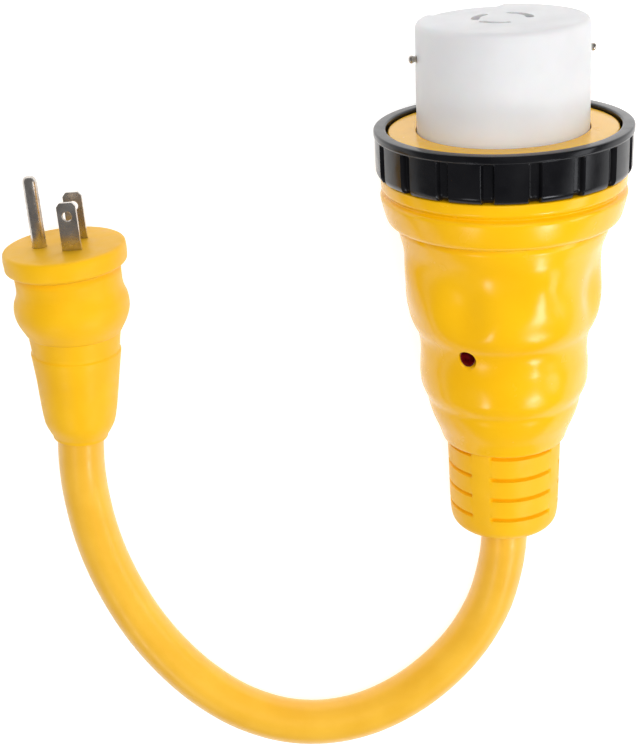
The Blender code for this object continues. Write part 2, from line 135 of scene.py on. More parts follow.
def local_frame(origin, axis):
    """A matrix in millimetres whose Z runs along the axis and whose X stays level."""
    axis = Vector(axis).normalized()
    right = Vector((1.0, 0.0, 0.0))
    right = (right - right.dot(axis) * axis).normalized()
    turn = Matrix((right, axis.cross(right), axis)).transposed().to_4x4()
    return Matrix.Translation(Vector(origin)) @ turn @ Matrix.Scale(MM, 4)


def spot(radius, angle, height=0.0):
    """The local point at a radius, an angle in degrees and a height."""
    turn = math.radians(angle)
    return Vector((radius * math.sin(turn), -radius * math.cos(turn), height))


def find_frames():
    """The connector's frame from the ring's hinge, and the plug's from its face mount."""
    record = frame["record"]
    hinge = next(joint for joint in record["behaviour"]["joints"] if joint["name"] == "ring_turn")
    connector = local_frame(hinge["pos_m"], hinge["axis"])
    connector = connector @ Matrix.Translation((0.0, 0.0, HINGE_DEPTH))
    face = next(mount for mount in record["mounts"] if mount["name"] == "plug_face")
    plug = local_frame(face["pos_m"], face["axis"])
    plug = plug @ Matrix.Translation(-spot(*FACE_MOUNT))
    return connector, plug


CONNECTOR, PLUG = find_frames()


# ---------------------------------------------------------------- materials

def new_material(name, colour, roughness, metallic=0.0, **sockets):
    """A Principled material; the keyword sockets are the same all over the surface."""
    material = bpy.data.materials.new(name)
    material.use_nodes = True
    shader = material.node_tree.nodes["Principled BSDF"]
    shader.inputs["Base Color"].default_value = (*colour, 1.0)
    shader.inputs["Roughness"].default_value = roughness
    shader.inputs["Metallic"].default_value = metallic
    for socket, value in sockets.items():
        shader.inputs[socket.replace("_", " ")].default_value = value
    return material


def add_noise(tree, scale, detail):
    """Noise in the object's own coordinates, in metres, times the scale."""
    place = tree.nodes.new("ShaderNodeTexCoord")
    noise = tree.nodes.new("ShaderNodeTexNoise")
    noise.inputs["Scale"].default_value = scale
    noise.inputs["Detail"].default_value = detail
    tree.links.new(place.outputs["Object"], noise.inputs["Vector"])
    return noise.outputs["Fac"]


def vary_colour(material, dark, light, scale):
    """The base colour drifts between two close colours."""
    tree = material.node_tree
    ramp = tree.nodes.new("ShaderNodeValToRGB")
    ramp.color_ramp.elements[0].position = 0.35
    ramp.color_ramp.elements[0].color = (*dark, 1.0)
    ramp.color_ramp.elements[1].position = 0.65
    ramp.color_ramp.elements[1].color = (*light, 1.0)
    tree.links.new(add_noise(tree, scale, 4.0), ramp.inputs["Fac"])
    tree.links.new(ramp.outputs["Color"], tree.nodes["Principled BSDF"].inputs["Base Color"])


def vary_roughness(material, smooth, rough, scale):
    """The roughness drifts between two values."""
    tree = material.node_tree
    span = tree.nodes.new("ShaderNodeMapRange")
    span.inputs["From Min"].default_value = 0.3
    span.inputs["From Max"].default_value = 0.7
    span.inputs["To Min"].default_value = smooth
    span.inputs["To Max"].default_value = rough
    tree.links.new(add_noise(tree, scale, 3.0), span.inputs["Value"])
    tree.links.new(span.outputs["Result"], tree.nodes["Principled BSDF"].inputs["Roughness"])


def add_bumps(material, *layers):
    """Bump layers, each (noise scale, strength, depth in metres)."""
    tree = material.node_tree
    normal = None
    for scale, strength, depth in layers:
        bump = tree.nodes.new("ShaderNodeBump")
        bump.inputs["Strength"].default_value = strength
        bump.inputs["Distance"].default_value = depth
        tree.links.new(add_noise(tree, scale, 2.0), bump.inputs["Height"])
        if normal:
            tree.links.new(normal, bump.inputs["Normal"])
        normal = bump.outputs["Normal"]
    tree.links.new(normal, tree.nodes["Principled BSDF"].inputs["Normal"])


def make_materials():
    """Every finish on the adapter, by a plain name."""
    finishes = {}

    vinyl = new_material("glossy_yellow_vinyl", (0.95, 0.515, 0.002), 0.22, Specular_IOR_Level=0.38)
    vary_colour(vinyl, (0.93, 0.49, 0.001), (0.97, 0.53, 0.003), 45.0)
    vary_roughness(vinyl, 0.17, 0.28, 160.0)
    add_bumps(vinyl, (90.0, 0.10, 0.0004), (2600.0, 0.06, 0.00004))
    finishes["vinyl"] = vinyl

    satin = new_material("satin_yellow_vinyl", (0.95, 0.51, 0.004), 0.46, Specular_IOR_Level=0.38)
    vary_colour(satin, (0.92, 0.485, 0.002), (0.97, 0.53, 0.005), 60.0)
    vary_roughness(satin, 0.40, 0.54, 220.0)
    add_bumps(satin, (120.0, 0.12, 0.0003), (3000.0, 0.10, 0.00005))
    finishes["satin"] = satin

    jacket = new_material("cord_jacket", (0.92, 0.50, 0.03), 0.35, Sheen_Weight=0.10, Sheen_Roughness=0.5)
    vary_colour(jacket, (0.89, 0.475, 0.026), (0.94, 0.52, 0.038), 70.0)
    vary_roughness(jacket, 0.30, 0.42, 260.0)
    add_bumps(jacket, (110.0, 0.12, 0.0004), (2400.0, 0.06, 0.00006))
    finishes["jacket"] = jacket

    # The grey specular tint is painted shade on the ring's reflections: it dims them all, standing in for
    # dark surroundings that the stage does not have.
    nylon = new_material("black_nylon", (0.006, 0.006, 0.007), 0.2, Specular_Tint=(0.40, 0.41, 0.44, 1.0))
    vary_colour(nylon, (0.004, 0.004, 0.005), (0.009, 0.009, 0.010), 80.0)
    vary_roughness(nylon, 0.14, 0.26, 200.0)
    add_bumps(nylon, (140.0, 0.08, 0.0003), (2800.0, 0.05, 0.00004))
    finishes["black"] = nylon

    white = new_material(
        "white_nylon", (0.76, 0.76, 0.77), 0.38,
        Subsurface_Weight=0.15, Subsurface_Scale=0.004, Specular_IOR_Level=0.4,
    )
    vary_colour(white, (0.71, 0.71, 0.72), (0.77, 0.77, 0.78), 38.0)
    vary_roughness(white, 0.30, 0.48, 120.0)
    add_bumps(white, (70.0, 0.14, 0.0004), (2200.0, 0.10, 0.00005))
    finishes["white"] = white

    nickel = new_material("nickel_plate", (0.62, 0.58, 0.54), 0.24, 1.0)
    vary_colour(nickel, (0.50, 0.455, 0.41), (0.66, 0.62, 0.57), 240.0)
    vary_roughness(nickel, 0.20, 0.32, 300.0)
    add_bumps(nickel, (700.0, 0.04, 0.00005), (120.0, 0.05, 0.0002))
    finishes["nickel"] = nickel

    brass = new_material("stamped_brass", (0.78, 0.57, 0.25), 0.30, 1.0)
    vary_colour(brass, (0.66, 0.46, 0.18), (0.82, 0.61, 0.29), 200.0)
    vary_roughness(brass, 0.22, 0.42, 400.0)
    add_bumps(brass, (700.0, 0.12, 0.00006))
    finishes["brass"] = brass

    rubber = new_material("gasket_rubber", (0.02, 0.02, 0.02), 0.75)
    vary_colour(rubber, (0.014, 0.014, 0.014), (0.03, 0.03, 0.03), 120.0)
    vary_roughness(rubber, 0.62, 0.85, 300.0)
    add_bumps(rubber, (1200.0, 0.25, 0.0001))
    finishes["rubber"] = rubber

    lens = new_material("dark_red_lens", (0.12, 0.002, 0.004), 0.12, Coat_Weight=0.6, Coat_Roughness=0.05)
    vary_colour(lens, (0.06, 0.001, 0.002), (0.16, 0.004, 0.006), 500.0)
    vary_roughness(lens, 0.08, 0.20, 600.0)
    add_bumps(lens, (900.0, 0.08, 0.00005))
    finishes["lens"] = lens

    for name, dark, light in (
        ("wire_black", (0.012, 0.012, 0.012), (0.03, 0.03, 0.03)),
        ("wire_white", (0.70, 0.70, 0.68), (0.82, 0.82, 0.80)),
        ("wire_green", (0.02, 0.22, 0.04), (0.04, 0.33, 0.07)),
        ("resistor", (0.42, 0.33, 0.22), (0.60, 0.50, 0.36)),
    ):
        wire = new_material(name, light, 0.45)
        vary_colour(wire, dark, light, 300.0)
        vary_roughness(wire, 0.38, 0.55, 300.0)
        add_bumps(wire, (1500.0, 0.12, 0.00005))
        finishes[name] = wire
    return finishes


# ------------------------------------------------------------ mesh builders

def smoothstep(value):
    """A smooth rise from zero to one."""
    value = np.clip(value, 0.0, 1.0)
    return value * value * (3.0 - 2.0 * value)


def pulse(distance, half, soft):
    """One near the centre and zero far from it, falling from half - soft to half + soft."""
    return smoothstep((half + soft - np.abs(distance)) / (2.0 * soft))


def around(angle, centre, period=360.0):
    """The signed angle from the nearest repeat of the centre."""
    return (angle - centre + period / 2.0) % period - period / 2.0


def curve_spans(knots):
    """Each span between two knots, with the knots before and after it."""
    ends = [2.0 * knots[0] - knots[1], *knots, 2.0 * knots[-1] - knots[-2]]
    return zip(ends, ends[1:], ends[2:], ends[3:])


def curve_point(span, t):
    """The point at t, from zero to one, along one span of a Catmull-Rom curve."""
    before, start, end, after = span
    return 0.5 * (
        2.0 * start + (end - before) * t
        + (2.0 * before - 5.0 * start + 4.0 * end - after) * t * t
        + (3.0 * start - before - 3.0 * end + after) * t * t * t
    )


def smooth_run(knots, spacing):
    """Corners without fillets along the smooth curve through (radius, height) knots."""
    knots = [Vector(knot) for knot in knots]
    run = []
    for span in curve_spans(knots):
        count = max(1, round((span[2] - span[1]).length / spacing))
        for number in range(count):
            point = curve_point(span, number / count)
            run.append((point.x, point.y, 0.0))
    run.append((*knots[-1], 0.0))
    return run


def rounded(points, closed=True, steps=4):
    """Replace each (radius, height, fillet) corner by a short curve of that size."""
    result = []
    count = len(points)
    for number, (radius, height, fillet) in enumerate(points):
        corner = Vector((radius, height))
        inner = closed or 0 < number < count - 1
        if not fillet or not inner:
            result.append((radius, height))
            continue
        before = Vector(points[number - 1][:2]) - corner
        after = Vector(points[(number + 1) % count][:2]) - corner
        size = min(fillet, before.length * 0.49, after.length * 0.49)
        start = corner + before.normalized() * size
        end = corner + after.normalized() * size
        for step in range(steps + 1):
            t = step / steps
            point = start * (1 - t) ** 2 + corner * 2.0 * t * (1 - t) + end * t * t
            result.append((point.x, point.y))
    return result


def add_piece(name, mesh, place, material, body):
    """A mesh in local millimetres, placed on the adapter as one piece that rides on a body."""
    mesh.transform(place)
    mesh.materials.append(material)
    item = bpy.data.objects.new(name, mesh)
    bpy.context.scene.collection.objects.link(item)
    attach(item, body)
    return item


def mesh_from(build, name, sharp=SHARP_ANGLE):
    """A smooth-shaded mesh with sharp edges above the angle, from a bmesh that is then freed."""
    bmesh.ops.recalc_face_normals(build, faces=build.faces)
    mesh = bpy.data.meshes.new(name)
    build.to_mesh(mesh)
    build.free()
    mesh.shade_smooth()
    mesh.set_sharp_from_angle(angle=math.radians(sharp))
    return mesh


def turned(name, profile, segments, shape=None, sharp=SHARP_ANGLE):
    """Turn a (radius, height) profile into a mesh; shape(r, z, angles) gives radii and heights."""
    degrees = np.arange(segments) * 360.0 / segments
    radians = np.radians(degrees)
    build = bmesh.new()
    loops = []
    for radius, height in profile:
        if radius < 1e-6:
            loops.append([build.verts.new((0.0, 0.0, height))])
            continue
        radii, heights = shape(radius, height, degrees) if shape else (radius, height)
        xs = radii * np.sin(radians)
        ys = -radii * np.cos(radians)
        zs = np.broadcast_to(heights, segments)
        loops.append([build.verts.new(point) for point in zip(xs, ys, zs)])
    pairs = list(zip(loops, loops[1:]))
    if len(loops[0]) > 1 and len(loops[-1]) > 1:
        pairs.append((loops[-1], loops[0]))
    for first, second in pairs:
        for here in range(segments):
            there = (here + 1) % segments
            corners = [first[here % len(first)], first[there % len(first)]]
            corners += [second[there % len(second)], second[here % len(second)]]
            build.faces.new(list(dict.fromkeys(corners)))
    return mesh_from(build, name, sharp)


def rod(build, start, end, radius, segments=32):
    """A plain round bar from start to end."""
    along = end - start
    turn = along.to_track_quat("Z", "Y").to_matrix().to_4x4()
    bmesh.ops.create_cone(
        build, cap_ends=True, segments=segments, radius1=radius, radius2=radius,
        depth=along.length, matrix=Matrix.Translation((start + end) / 2.0) @ turn,
    )


def extrude_outline(build, outline, offset):
    """A solid from a closed outline, pushed out by the offset."""
    face = build.faces.new([build.verts.new(point) for point in outline])
    made = bmesh.ops.extrude_face_region(build, geom=[face])
    moved = [item for item in made["geom"] if isinstance(item, bmesh.types.BMVert)]
    bmesh.ops.translate(build, vec=offset, verts=moved)


def arc_tip(radius, half, angle, low, side):
    """The round end of a curved bar, at its later end for side 1 and at its earlier end for -1."""
    tip = spot(radius, angle)
    outward = spot(1.0, angle)
    onward = spot(1.0, angle + side * 90.0)
    points = []
    for number in range(1, 8):
        turn = math.radians(180.0 * number / 8)
        across = outward * (side * half) * math.cos(turn)
        points.append(tip + across + onward * half * math.sin(turn) + Vector((0, 0, low)))
    return points


def add_arc(build, radius, width, start, end, low, high):
    """A curved bar with round ends, between two angles and two heights."""
    half = width / 2.0
    steps = 24
    angles = [start + (end - start) * number / steps for number in range(steps + 1)]
    outline = [spot(radius + half, angle, low) for angle in angles]
    outline += arc_tip(radius, half, end, low, 1.0)
    outline += [spot(radius - half, angle, low) for angle in reversed(angles)]
    outline += arc_tip(radius, half, start, low, -1.0)
    extrude_outline(build, outline, (0.0, 0.0, high - low))


def cut_with(piece, cutter_mesh, place):
    """Subtract a mesh from a piece and keep only the result."""
    cutter_mesh.transform(place)
    cutter = bpy.data.objects.new("cutter", cutter_mesh)
    bpy.context.scene.collection.objects.link(cutter)
    step = piece.modifiers.new("cut", "BOOLEAN")
    step.operation = "DIFFERENCE"
    step.solver = "EXACT"
    step.object = cutter
    bpy.context.view_layer.update()
    graph = bpy.context.evaluated_depsgraph_get()
    result = bpy.data.meshes.new_from_object(piece.evaluated_get(graph))
    piece.modifiers.clear()
    piece.data = result
    result.shade_smooth()
    result.set_sharp_from_angle(angle=math.radians(SHARP_ANGLE))
    bpy.data.objects.remove(cutter)


def bevel_edges(piece, width):
    """Round a piece's sharp edges by a width in millimetres."""
    step = piece.modifiers.new("edges", "BEVEL")
    step.width = width * MM
    step.segments = 3
    step.limit_method = "ANGLE"
    step.angle_limit = math.radians(35.0)
    step.harden_normals = True


# ---------------------------------------------------------------- connector

# The grip's form around its axis, below GRIP_TOP and outside GRIP_INNER. Along the height, the
# valleys between the lobes and the pads on them are humps, each (size, height, half width).
GRIP_TOP = -32.0
GRIP_INNER = 20.0
VALLEY_ANGLE = -30.0
VALLEY_WIDTH = 14.0
VALLEY_HUMPS = ((2.9, -53.0, 9.0), (0.5, -84.0, 6.0))
PAD_WIDTH = 17.0
PAD_HUMPS = ((2.0, -44.5, 7.0), (-0.6, -59.5, 4.0), (0.5, -73.0, 4.0), (-0.25, -86.0, 3.0))
# The lobes stand out by this share of the valleys' depth.
LOBE_LIFT = 0.06


def hump(value, centre, width):
    """One at the centre, falling away smoothly to both sides."""
    return np.exp(-((value - centre) / width) ** 2)


def add_humps(height, humps):
    return sum(size * hump(height, centre, width) for size, centre, width in humps)


def grip_shape(radius, height, degrees):
    """Four finger lobes that meet in soft valleys, each with a fuller pad along its middle."""
    if height > GRIP_TOP or radius < GRIP_INNER:
        return radius, height
    valley = hump(around(degrees, VALLEY_ANGLE, 90.0), 0.0, VALLEY_WIDTH)
    pad = hump(around(degrees, VALLEY_ANGLE + 45.0, 90.0), 0.0, PAD_WIDTH)
    depth = add_humps(height, VALLEY_HUMPS)
    fill = add_humps(height, PAD_HUMPS)
    return radius + fill * pad - depth * (valley - LOBE_LIFT), height


def led_frame():
    """The lamp's own frame, on the grip's surface: +Z out along the bore, a little to the rear."""
    tilt = math.radians(LED_TILT)
    out = spot(math.cos(tilt), LED_ANGLE, -math.sin(tilt))
    turn = out.to_track_quat("Z", "Y").to_matrix().to_4x4()
    return Matrix.Translation(spot(LED_RADIUS, LED_ANGLE, LED_HEIGHT)) @ turn


def make_connector_overmold(finish):
    """The yellow moulding: the flange inside the ring, the neck, the shoulder and the lobed grip."""
    bore = NOSE_RADIUS + GAP
    front = [
        (bore, -11.7, 0.0), (bore, -1.1, 0.3), (36.0, -1.1, 0.8), (36.0, -5.0, 0.3),
        (33.0, -5.0, 0.0), (33.0, -15.0, 0.0), (38.7, -15.0, 0.6), (38.7, -18.6, 0.7),
        (37.3, -19.9, 0.5), (39.2, -20.9, 1.0), (38.3, -25.0, 1.5), (37.0, -29.7, 1.6),
        (33.6, -30.7, 0.25),
    ]
    grip = smooth_run((
        (33.9, -32.0), (32.8, -35.5), (31.7, -38.6), (31.0, -42.0), (30.8, -46.0), (31.2, -50.0),
        (31.6, -54.0), (31.6, -58.0), (30.9, -62.0), (29.6, -65.2), (28.2, -67.8), (27.4, -71.0),
        (27.3, -75.0), (27.7, -79.0), (27.8, -83.0), (27.5, -86.5), (26.5, -89.2), (25.5, -91.2),
        (25.0, -94.0), (23.9, -97.8), (22.0, -102.4),
    ), 1.0)
    rear = [
        (21.1, -105.2, 1.2), (20.6, BOOT_FRONT + GAP, 0.7), (15.3, BOOT_FRONT + GAP, 0.0),
        (15.3, -97.0, 0.0), (18.0, -97.0, 0.0), (22.0, -86.0, 0.0), (23.0, -70.0, 0.0),
        (26.0, -45.0, 0.0), (27.0, -23.2, 0.0), (30.3, -23.2, 0.0), (30.3, -11.7, 0.0),
    ]
    mesh = turned("grip_moulding", rounded(front + grip + rear), 180, grip_shape)
    grip_piece = add_piece("connector_grip", mesh, CONNECTOR, finish["vinyl"], ROOT)
    lamp_bore = turned("lamp_bore", rounded([
        (0.0, -9.0, 0.0), (2.7, -9.0, 0.0), (2.7, -0.8, 0.5), (3.2, 0.4, 0.8), (5.4, 5.0, 0.0),
        (0.0, 5.0, 0.0),
    ], closed=False), 40)
    cut_with(grip_piece, lamp_bore, CONNECTOR @ led_frame())
    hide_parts("connector_overmold")


def make_lamp(finish):
    """A dark red lens at the bottom of a thin cup whose rim follows the grip's surface."""
    cup = [
        (0.0, -3.0, 0.0), (0.9, -3.1, 0.3), (1.6, -3.8, 0.3), (2.1, -4.2, 0.2), (2.3, -3.6, 0.2),
        (2.35, -0.45, 0.1), (2.6, -0.45, 0.1), (2.6, -8.6, 0.0), (0.0, -8.6, 0.0),
    ]
    mesh = turned("lamp", rounded(cup, closed=False), 40)
    tilt = math.radians(LED_TILT)
    slope = led_frame().to_3x3().inverted() @ spot(math.sin(tilt), LED_ANGLE, math.cos(tilt))
    for vert in mesh.vertices:
        if vert.co.z > -1.5:
            vert.co.z -= math.tan(tilt) * slope.dot(vert.co * Vector((1.0, 1.0, 0.0)))
    lamp = add_piece("indicator_lamp", mesh, CONNECTOR @ led_frame(), finish["lens"], ROOT)
    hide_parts("led_lamp")


def boot_shape(radius, height, degrees):
    """Four rows of slots in the outer wall, each broken by four plain strips."""
    depth = np.zeros(len(degrees))
    if radius > 15.5:
        across = pulse(around(degrees, LED_ANGLE + 45.0, 90.0), BOOT_SLOT_SPAN, 1.3)
        for slot_height in BOOT_SLOTS:
            along = float(pulse(height - slot_height, BOOT_SLOT_HALF, BOOT_SLOT_SOFT))
            depth = np.maximum(depth, BOOT_SLOT_DEPTH * along * across)
    return radius - depth, height


def make_strain_relief_boot(finish):
    """The ribbed sleeve behind the grip, with rows of vertices on each slot's sloping sides."""
    heights = {BOOT_FRONT, -112.0, -120.0, -127.5, -134.0}
    for slot_height in BOOT_SLOTS:
        for step in (0.8, 0.69, 0.55, 0.41, 0.3, 0.12):
            heights.update((slot_height + step, slot_height - step))
    wall = [
        (float(np.interp(height, (-134.5, -130.0, BOOT_FRONT), (18.4, 18.6, 19.1))), height, 0.0)
        for height in sorted(heights, reverse=True) if height <= BOOT_FRONT
    ]
    tail = [
        (18.3, -135.2, 0.6), (17.9, -137.9, 1.4), (15.9, BOOT_END, 1.6), (8.9, BOOT_END, 0.5),
        (8.3, -139.0, 0.2),
    ]
    inside = [(8.3, -97.3, 0.0), (15.0, -97.3, 0.0), (15.0, BOOT_FRONT, 0.0)]
    mesh = turned("boot_moulding", rounded(wall + tail + inside), 360, boot_shape, 55.0)
    boot = add_piece("strain_relief_sleeve", mesh, CONNECTOR, finish["satin"], ROOT)
    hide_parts("strain_relief_boot")


def nose_shape(radius, height, degrees):
    """The face's rim drops a little over the sector that keys the nose."""
    keyed = pulse(around(degrees, KEY_ANGLE), KEY_HALF, 3.0)
    drop = KEY_DROP * keyed * float(smoothstep((radius - 17.0) / 2.0)) * float(height > 27.0)
    return radius, height - drop


def make_nose(finish):
    """The white nose with its three slots and the holes for the lugs."""
    inner = NOSE_RADIUS - NOSE_WALL
    profile = [
        (0.0, NOSE_FRONT, 0.0), (4.0, NOSE_FRONT, 0.0), (15.0, NOSE_FRONT, 0.0), (16.5, NOSE_FRONT, 0.0),
        (18.0, NOSE_FRONT, 0.0), (19.5, NOSE_FRONT, 0.0), (22.0, NOSE_FRONT, 0.0),
        (NOSE_RADIUS - 0.2, NOSE_FRONT, 2.6), (NOSE_RADIUS, 14.0, 0.0), (NOSE_RADIUS, -12.0, 0.0),
        (30.0, -12.0, 0.0), (30.0, -15.0, 0.0), (inner, -15.0, 0.0),
        (inner, NOSE_FRONT - NOSE_FLOOR, 0.0), (0.0, NOSE_FRONT - NOSE_FLOOR, 0.0),
    ]
    mesh = turned("nose_moulding", rounded(profile, closed=False, steps=6), 144, nose_shape)
    nose = add_piece("connector_nose", mesh, CONNECTOR, finish["white"], ROOT)
    cutter = bmesh.new()
    for start, end in CONTACT_ARCS:
        first = start + NOSE_SLOT_INSET
        last = end - NOSE_SLOT_INSET
        add_arc(cutter, CONTACT_RADIUS, NOSE_SLOT_WIDTH, first, last, 24.0, 35.0)
    for angle in LUG_ANGLES:
        rod(cutter, spot(22.0, angle, LUG_HEIGHT), spot(30.0, angle, LUG_HEIGHT), LUG_HOLE_RADIUS)
    cut_with(nose, mesh_from(cutter, "nose_cuts"), CONNECTOR)
    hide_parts("nose_insulator")


def make_lugs(finish):
    """The two earth lugs: small rounded rivet heads on the nose's sides."""
    for name, angle in zip(("ground_lug_left", "ground_lug_right"), LUG_ANGLES):
        out = spot(1.0, angle).to_track_quat("Z", "Y").to_matrix().to_4x4()
        place = CONNECTOR @ Matrix.Translation((0.0, 0.0, LUG_HEIGHT)) @ out
        profile = [
            (0.0, LUG_TIP, 0.0), (0.8, LUG_TIP - 0.05, 0.3), (1.25, LUG_TIP - 0.6, 0.4),
            (1.2, LUG_TIP - 1.3, 0.3), (0.9, LUG_TIP - 1.7, 0.2), (0.9, LUG_ROOT, 0.0),
            (0.0, LUG_ROOT, 0.0),
        ]
        mesh = turned(name, rounded(profile, closed=False), 32)
        lug = add_piece(name + "_rivet", mesh, place, finish["nickel"], ROOT)
        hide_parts(name)


def ring_shape(radius, height, degrees):
    """Grooves in the ring's outer wall, between plain lands and open at the rear."""
    depth = np.zeros(len(degrees))
    if radius > 37.5 and height < GROOVE_TOP:
        pitch = 360.0 / GRIP_GROOVES
        groove = pulse(around(degrees, FIRST_GROOVE, pitch), GROOVE_HALF, 0.45)
        depth = GROOVE_DEPTH * groove * float(smoothstep((GROOVE_TOP - height) / 0.7))
    return radius - depth, height


def make_ring(finish):
    """The black turning ring, with its inner flange at the rear."""
    outer = RING_RADIUS
    profile = [
        (RING_BORE, -1.0, 0.0), (RING_BORE, -0.3, 0.2), (RING_BORE + 0.5, 0.0, 0.3), (outer, 0.0, 0.7),
        (outer, -1.9, 0.35), (outer - 0.3, -2.25, 0.15), (outer - 0.3, -2.5, 0.0),
        (outer - 0.3, -2.75, 0.0), (outer - 0.3, -3.05, 0.0), (outer - 0.3, -8.0, 0.0),
        (outer - 0.35, -13.2, 0.8), (outer - 1.3, -RING_DEPTH, 0.6), (37.6, -RING_DEPTH, 0.0),
        (33.5, -RING_DEPTH, 0.3), (33.5, -11.6, 0.3), (RING_BORE, -11.6, 0.4),
    ]
    mesh = turned("ring_moulding", rounded(profile), GRIP_GROOVES * 40, ring_shape)
    ring = add_piece("turning_ring_moulding", mesh, CONNECTOR, finish["black"], RING)
    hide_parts("locking_ring")


def make_gasket(finish):
    """The rubber seal in front of the ring's inner flange."""
    profile = [(33.4, -9.3, 0.5), (36.2, -9.3, 0.5), (36.2, -11.3, 0.5), (33.4, -11.3, 0.5)]
    mesh = turned("gasket_moulding", rounded(profile), 96)
    gasket = add_piece("ring_seal", mesh, CONNECTOR, finish["rubber"], SEAL)
    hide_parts("ring_gasket")


# --------------------------------------------------------------------- plug

def lean_point(point):
    """A point of the straight plug, moved as its tail bends to -X with the pull of the cord."""
    span = BEND_START - PLUG_END
    reach = max(0.0, BEND_START - point.z) / span
    turn = math.atan(BEND_POWER * PLUG_BEND / span * reach ** (BEND_POWER - 1.0))
    across = point.x * math.cos(turn) - PLUG_BEND * reach ** BEND_POWER
    return Vector((across, point.y, point.z - point.x * math.sin(turn)))


def plug_shape(radius, height, degrees):
    """A face and flange a little taller than wide."""
    if radius < 12.0 or height < -7.6:
        return radius, height
    return radius * (1.0 + 0.045 * np.cos(np.radians(degrees)) ** 2), height


def blade_spots():
    """Where each blade and the pin leave the plug's face."""
    return {
        "line_blade": Vector((BLADE_LINE, -BLADE_SPACING / 2.0, 0.0)),
        "neutral_blade": Vector((BLADE_LINE, BLADE_SPACING / 2.0, 0.0)),
        "ground_pin": Vector((BLADE_LINE - GROUND_OFFSET, 0.0, 0.0)),
    }


def make_plug_overmold(finish):
    """The satin moulding from the plug's face to its tail, cut for the blades and the pin."""
    front = [
        (0.0, 0.0, 0.0), (11.0, 0.0, 0.0), (20.3, 0.0, 1.3), (20.5, -3.0, 0.0), (20.3, -6.4, 0.7),
        (18.6, -7.4, 0.3), (17.3, -7.9, 0.2), (17.4, -8.6, 0.3),
    ]
    grip = smooth_run((
        (17.8, -9.5), (17.7, -12.5), (17.8, -14.8), (18.3, -16.6), (19.1, -18.8), (19.35, -21.5),
        (19.0, -24.0), (18.0, -26.6), (16.8, -28.8),
    ), 0.9)
    middle = [
        (16.2, -30.0, 0.3), (15.6, -30.4, 0.3), (14.8, -37.0, 0.2), (15.3, -37.5, 0.3),
        (15.0, -40.0, 0.5),
    ]
    tail = smooth_run((
        (14.6, -43.0), (14.0, -48.0), (13.4, -54.0), (12.8, -59.0), (12.0, -63.5), (10.5, -66.8),
    ), 1.2)
    rear = [
        (9.6, -68.2, 0.5), (9.4, PLUG_END, 0.4), (CORD_RADIUS + GAP, PLUG_END, 0.2),
        (CORD_RADIUS + GAP, -44.0, 0.0), (10.5, -42.0, 0.0), (14.0, -30.0, 0.0), (14.0, -3.0, 0.0),
        (0.0, -3.0, 0.0),
    ]
    profile = rounded(front + grip + middle + tail + rear, closed=False)
    mesh = turned("plug_moulding", profile, 144, plug_shape)
    for vert in mesh.vertices:
        vert.co = lean_point(vert.co)
    plug = add_piece("plug_grip", mesh, PLUG, finish["satin"], ROOT)
    cutter = bmesh.new()
    for name, place in blade_spots().items():
        if name == "ground_pin":
            low = place - Vector((0, 0, 5.0))
            high = place + Vector((0, 0, 2.0))
            rod(cutter, low, high, GROUND_PIN_RADIUS + FACE_CLEARANCE)
        else:
            width = BLADE_WIDTH + 2.0 * FACE_CLEARANCE
            thickness = BLADE_THICKNESS + 2.0 * FACE_CLEARANCE
            size = (width, thickness, 7.0, 1.0)
            centre = Matrix.Translation(place + Vector((0, 0, -1.5)))
            bmesh.ops.create_cube(cutter, size=1.0, matrix=centre @ Matrix.Diagonal(size))
    cut_with(plug, mesh_from(cutter, "face_cuts"), PLUG)
    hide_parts("plug_overmold")


def make_blades(finish):
    """The blades, bevelled with a hole near the tip, and the round-nosed ground pin."""
    for name, place in blade_spots().items():
        at = PLUG @ Matrix.Translation(place)
        if name == "ground_pin":
            tip = GROUND_PIN_LENGTH
            outer = GROUND_PIN_RADIUS
            profile = [
                (0.0, tip, 0.0), (1.5, tip - 0.15, 0.7), (2.2, tip - 1.1, 0.7), (outer, tip - 2.6, 0.7),
                (outer, BLADE_ROOT, 0.0), (0.0, BLADE_ROOT, 0.0),
            ]
            mesh = turned("pin", rounded(profile, closed=False), 48)
            pin = add_piece("earth_pin", mesh, at, finish["nickel"], ROOT)
            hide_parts(name)
            continue
        half = BLADE_WIDTH / 2.0
        thick = BLADE_THICKNESS / 2.0
        tip = BLADE_LENGTH
        outline = [
            (-half, -thick, BLADE_ROOT), (half, -thick, BLADE_ROOT), (half, -thick, tip - 1.3),
            (half - 1.1, -thick, tip), (1.1 - half, -thick, tip), (-half, -thick, tip - 1.3),
        ]
        build = bmesh.new()
        extrude_outline(build, outline, (0.0, 2.0 * thick, 0.0))
        blade = add_piece(name + "_plated", mesh_from(build, "blade"), at, finish["nickel"], ROOT)
        hole = bmesh.new()
        centre = Vector((0.0, 0.0, tip - BLADE_HOLE_DEPTH))
        rod(hole, centre - Vector((0, 3, 0)), centre + Vector((0, 3, 0)), BLADE_HOLE_RADIUS, 40)
        cut_with(blade, mesh_from(hole, "hole"), at)
        bevel_edges(blade, 0.18)
        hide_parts(name)


# --------------------------------------------------------------------- cord

def smooth_points(route, step):
    """Points at even steps along the smooth curve through the route."""
    parts = 12
    dense = [curve_point(span, count / parts) for span in curve_spans(route) for count in range(parts)]
    dense.append(route[-1])
    total = sum((b - a).length for a, b in zip(dense, dense[1:]))
    spacing = total / max(1, round(total / step))
    points = [dense[0]]
    walked = 0.0
    for a, b in zip(dense, dense[1:]):
        piece = (b - a).length
        while walked + piece >= spacing * len(points) - 1e-6 and piece > 0.0:
            points.append(a.lerp(b, (spacing * len(points) - walked) / piece))
        walked += piece
    return points


